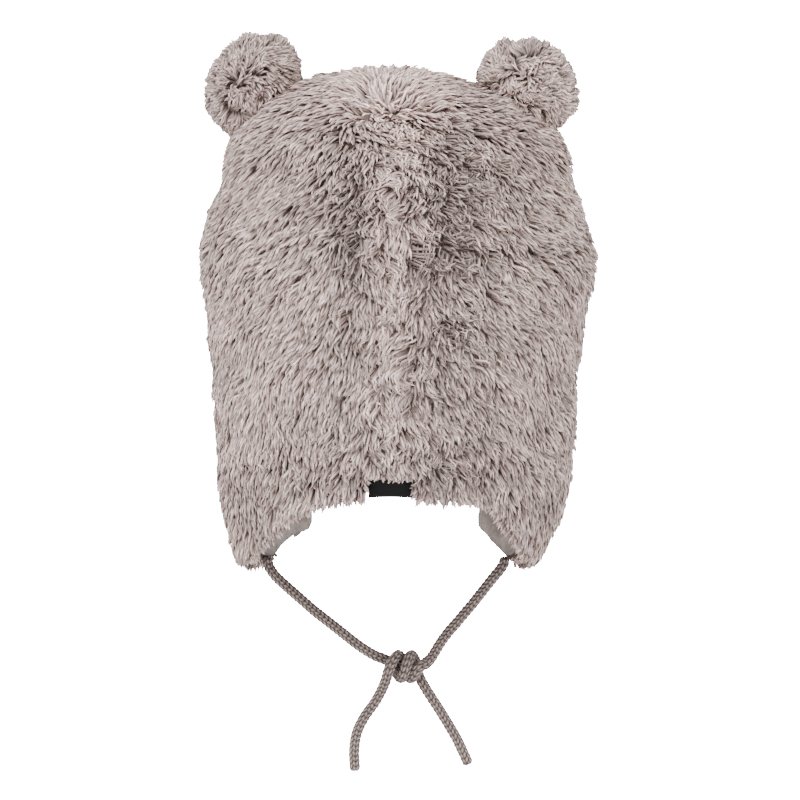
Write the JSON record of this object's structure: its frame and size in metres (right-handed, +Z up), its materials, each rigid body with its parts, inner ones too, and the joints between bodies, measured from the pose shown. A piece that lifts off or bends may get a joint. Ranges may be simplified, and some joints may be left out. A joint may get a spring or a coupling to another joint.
{
  "type": "baby hat with ears",
  "caption": "Deep-pile fleece baby hat with ball ears, ear flaps, a smooth lining and two knitted cords tied in a half knot below the flaps.",
  "frame": {"origin": "inside of the crown, where the top of a head touches the lining", "axes": "+Z up as worn, -Y the way the face looks, +X the wearer's left"},
  "size_m": [0.2011, 0.1825, 0.3724],
  "materials": {
    "fur": "deep teddy-fleece pile in locks, light grey taupe",
    "lining": "smooth short-napped jersey, light grey taupe",
    "label": "fine black satin-edged ribbon weave, bare",
    "cord": "round weft-knitted cotton cord, matt taupe"
  },
  "bodies": {
    "root": {"fur_panel_left": "fur", "fur_panel_right": "fur", "lining": "lining", "ear_left": "fur", "ear_right": "fur", "nape_label": "label", "cord_left": "cord", "cord_right": "cord", "tie_knot": "cord", "tail_left": "cord", "tail_right": "cord"}
  },
  "joints": []
}
